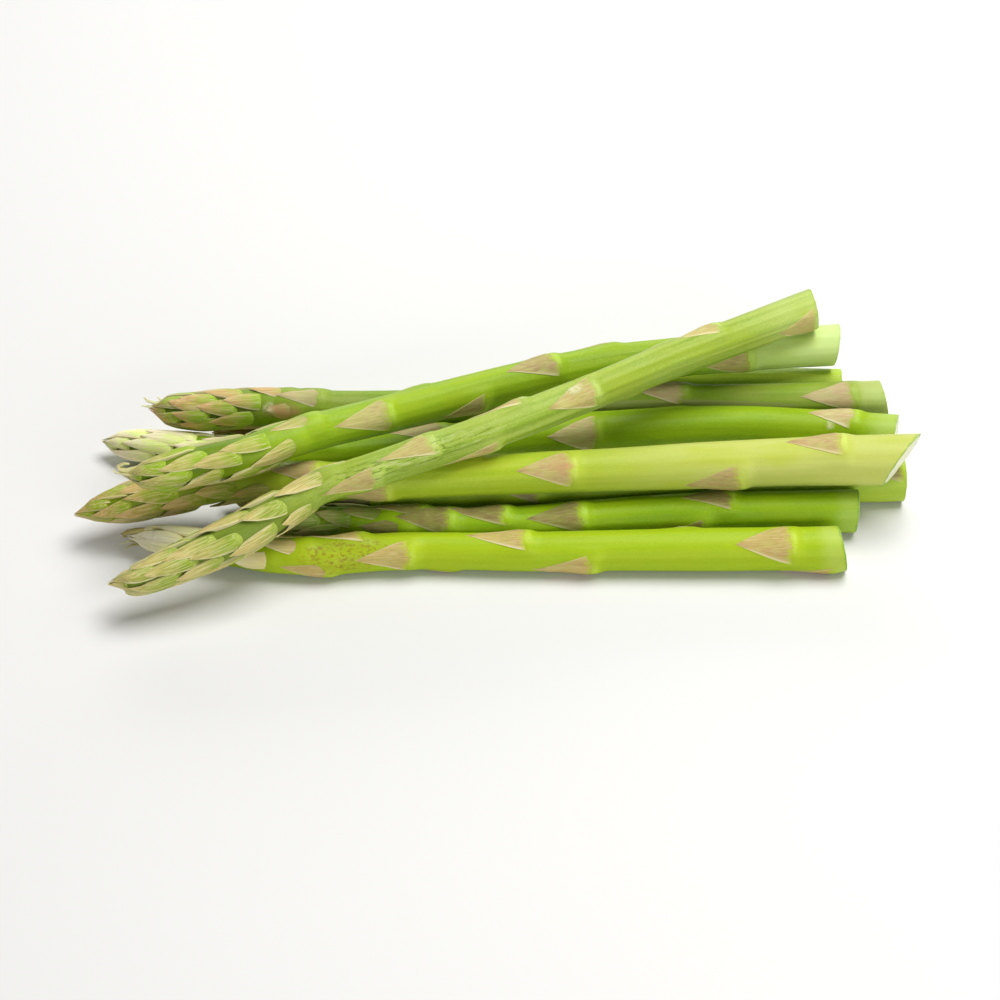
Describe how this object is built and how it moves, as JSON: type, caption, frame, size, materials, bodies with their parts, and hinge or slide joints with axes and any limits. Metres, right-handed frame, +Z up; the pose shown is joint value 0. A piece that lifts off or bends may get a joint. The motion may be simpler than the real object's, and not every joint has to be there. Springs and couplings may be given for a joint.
{
  "type": "bundle of asparagus",
  "caption": "Loose pile of trimmed green asparagus spears lying side by side and crossing, with pointed scaly heads at one end and cut butts at the other.",
  "frame": {"origin": "on the surface that the pile lies on, under the middle of the pile", "axes": "+X along the spears towards the cut butts, so the heads are at -X; +Y across the pile, away from the front spear; +Z up"},
  "size_m": [0.238, 0.112, 0.0358],
  "materials": {
    "bright_green_skin": "satin",
    "olive_green_skin": "satin"
  },
  "bodies": {
    "root": {"spear_on_top": "bright_green_skin", "spear_back_upper": "olive_green_skin", "spear_back_lowest": "olive_green_skin", "spear_back_second": "olive_green_skin", "spear_middle": "bright_green_skin", "spear_thickest": "bright_green_skin", "spear_under_thickest": "olive_green_skin", "spear_front_inner": "bright_green_skin", "spear_front": "bright_green_skin"}
  },
  "joints": []
}
